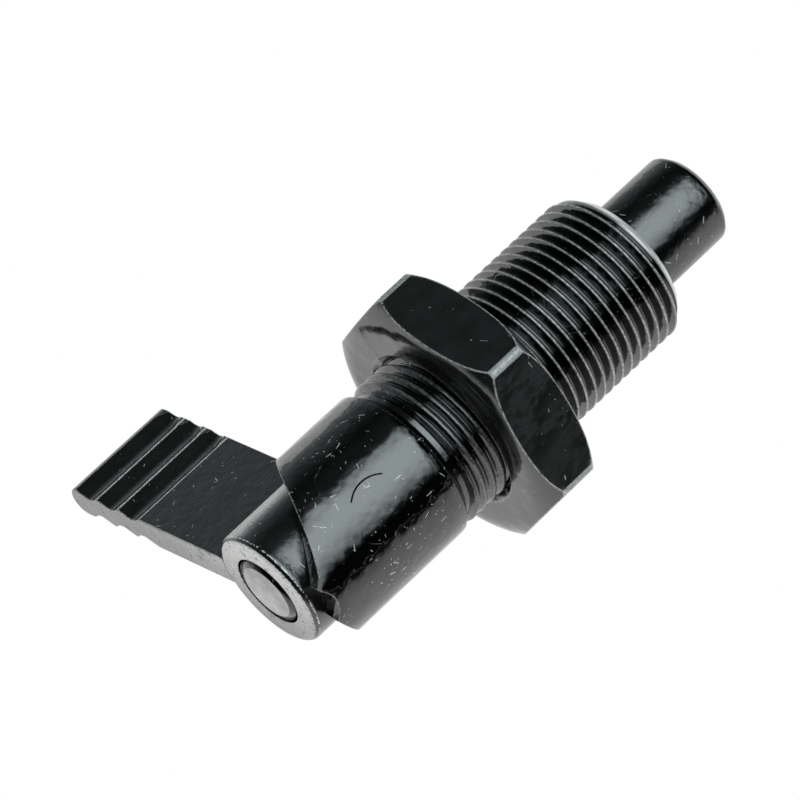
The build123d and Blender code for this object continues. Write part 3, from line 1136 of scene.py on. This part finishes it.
# ======== pieces ========
for node_name, material in {
    "lever": lever_black,
    "cross_pin": cross_pin_black,
    "lock_nut": nut_black,
}.items():
    cad_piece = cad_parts[node_name]
    for slot in cad_piece.material_slots:
        slot.link = "OBJECT"
        slot.material = material

threaded_body = body_piece(body_black)
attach(threaded_body, "body")
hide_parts("body")

turned_pin = pin_piece(pin_black)
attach(turned_pin, "plunger")
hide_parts("indexing_pin")

wound_spring = spring_piece(spring_steel)
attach(wound_spring, "spring")
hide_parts("return_spring")
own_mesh(wound_spring)

# ======== stage ========
FLOOR_X = -23.0
FLOOR_Z = -15.0
FLOOR_HALF = 1500.0
# Light of the floor between two lines along its near and far side, as (place, light).
FLOOR_NEAR_Y = -200.0
FLOOR_FAR_Y = 50.0
FLOOR_STOPS = ((0.0, 0.02), (0.18, 0.1), (0.51, 0.65), (0.62, 0.83), (0.8, 0.95), (1.0, 0.95))
# The softbox overhead, as (degrees up from the far horizon, light).
SOFTBOX = (
    (50, 0.0), (58, 0.03), (76, 0.07), (82, 0.3), (87, 1.5), (93, 2.2), (100, 2.7), (108, 2.9),
    (123, 2.9), (131, 2.6), (138, 2.1), (145, 1.5), (151, 0.8), (156, 0.1), (162, 0.0),
)
SOFTBOX_TOP = max(light for angle, light in SOFTBOX)
# Its middle and its reach to both sides, as the X of a direction of length one.
SOFTBOX_MIDDLE = 0.14
SOFTBOX_HALF = 0.36
# The backdrop and the room, as the softbox.
BACKDROP = (
    (0, 0.5), (10, 0.36), (20, 0.24), (30, 0.14), (40, 0.06), (50, 0.025), (60, 0.012), (90, 0.004),
    (180, 0.004),
)
ROOM_TINT = (0.86, 0.975, 1.0, 1.0)
WHITE = (1.0, 1.0, 1.0, 1.0)


def stops(tree, value, pairs, scale):
    """A ramp through (place, height) pairs; places from 0 to 1, heights given on the scale."""
    ramp = add_node(tree, "ShaderNodeValToRGB", {"Fac": value})
    elements = ramp.color_ramp.elements
    while len(elements) < len(pairs):
        elements.new(0.5)
    for element, (spot, height) in zip(elements, pairs):
        element.position = spot
        element.color = (height / scale,) * 3 + (1.0,)
    return maths(tree, "MULTIPLY", ramp.outputs["Color"], scale)


def floor_material():
    """A light table: plain white to the camera, and dimmer on its near side to the plunger."""
    material = bpy.data.materials.new("light_table")
    tree = empty_tree(material)
    place = add_node(tree, "ShaderNodeTexCoord").outputs["Object"]
    parts = add_node(tree, "ShaderNodeSeparateXYZ", {0: place}).outputs
    near_side = rescale(tree, parts["Y"], FLOOR_NEAR_Y * MM, FLOOR_FAR_Y * MM)
    side = maths(tree, "ABSOLUTE", parts["X"])
    light = product(
        tree,
        stops(tree, near_side, FLOOR_STOPS, 1.0),
        rescale(tree, parts["Y"], 300 * MM, 600 * MM, 1.0, 0.5),
        rescale(tree, side, 200 * MM, 500 * MM, 1.0, 0.4),
    )
    seen = add_node(tree, "ShaderNodeLightPath").outputs["Is Camera Ray"]
    strength = maths(tree, "MAXIMUM", light, seen)
    glow = add_node(tree, "ShaderNodeEmission", {"Color": WHITE, "Strength": strength})
    add_node(tree, "ShaderNodeOutputMaterial", {"Surface": glow.outputs[0]})
    return material


def floor_piece():
    """The table's top, as one square."""
    corners = [(-1, -1), (1, -1), (1, 1), (-1, 1)]
    half = FLOOR_HALF * MM
    mesh = bpy.data.meshes.new("floor")
    mesh.from_pydata([(x * half, y * half, 0.0) for x, y in corners], [], [(0, 1, 2, 3)])
    mesh.materials.append(floor_material())
    piece = bpy.data.objects.new("floor", mesh)
    piece.location = (FLOOR_X * MM, 0, FLOOR_Z * MM)
    bpy.context.scene.collection.objects.link(piece)
    return piece


floor = floor_piece()


def studio_world():
    """Room with a softbox overhead and a pale backdrop, plain white to the camera."""
    world = bpy.data.worlds.new("studio")
    bpy.context.scene.world = world
    tree = empty_tree(world)
    way = add_node(tree, "ShaderNodeTexCoord").outputs["Generated"]
    parts = add_node(tree, "ShaderNodeSeparateXYZ", {0: way}).outputs
    turned = rescale(tree, maths(tree, "ARCTAN2", parts["Z"], parts["Y"]), 0.0, math.pi)
    box = stops(tree, turned, [(angle / 180, light) for angle, light in SOFTBOX], SOFTBOX_TOP)
    aside = maths(tree, "ABSOLUTE", maths(tree, "SUBTRACT", parts["X"], SOFTBOX_MIDDLE))
    within = rescale(tree, aside, SOFTBOX_HALF * 1.2, SOFTBOX_HALF * 0.8, smooth=True)
    box = maths(tree, "MULTIPLY", box, within)
    backdrop = stops(tree, turned, [(angle / 180, light) for angle, light in BACKDROP], 1.0)
    seen = add_node(tree, "ShaderNodeLightPath").outputs["Is Camera Ray"]
    strength = maths(tree, "MAXIMUM", maths(tree, "ADD", backdrop, box), seen)
    colour = mix(tree, "RGBA", seen, ROOM_TINT, WHITE)
    sky = add_node(tree, "ShaderNodeBackground", {"Color": colour, "Strength": strength})
    add_node(tree, "ShaderNodeOutputWorld", {"Surface": sky.outputs[0]})


studio_world()

# ======== camera ========
CAMERA_AZIMUTH = -36.205
CAMERA_HEIGHT = 51.90
CAMERA_ROLL = -12.97
CAMERA_AWAY = 616.87
CAMERA_AIM = (-26.45, 0.0, 0.0)
CAMERA_AIM_PIXEL = (463.783, 407.811)
FOCAL_PIXELS = 5500.0
FRAME_PIXELS = 800


def place_camera():
    """Long lens from above, turned so that the plunger lies across the frame."""
    turn, height, roll = (math.radians(a) for a in (CAMERA_AZIMUTH, CAMERA_HEIGHT, CAMERA_ROLL))
    back = Vector(
        (math.sin(turn) * math.cos(height), -math.cos(turn) * math.cos(height), math.sin(height))
    )
    level = Vector((math.cos(turn), math.sin(turn), 0.0))
    upright = back.cross(level)
    right = level * math.cos(roll) + upright * math.sin(roll)
    up = upright * math.cos(roll) - level * math.sin(roll)
    middle = FRAME_PIXELS / 2
    off_x = (CAMERA_AIM_PIXEL[0] - middle) * CAMERA_AWAY / FOCAL_PIXELS
    off_y = (CAMERA_AIM_PIXEL[1] - middle) * CAMERA_AWAY / FOCAL_PIXELS
    spot = Vector(CAMERA_AIM) - right * off_x + up * off_y + back * CAMERA_AWAY
    data = bpy.data.cameras.new("camera")
    data.sensor_width = 36.0
    data.lens = data.sensor_width * FOCAL_PIXELS / FRAME_PIXELS
    data.clip_start, data.clip_end = 0.01, 20.0
    camera = bpy.data.objects.new("camera", data)
    camera.matrix_world = Matrix(
        (
            (right.x, up.x, back.x, spot.x * MM),
            (right.y, up.y, back.y, spot.y * MM),
            (right.z, up.z, back.z, spot.z * MM),
            (0.0, 0.0, 0.0, 1.0),
        )
    )
    bpy.context.scene.collection.objects.link(camera)
    bpy.context.scene.camera = camera


place_camera()
bpy.context.scene.view_settings.view_transform = "Standard"
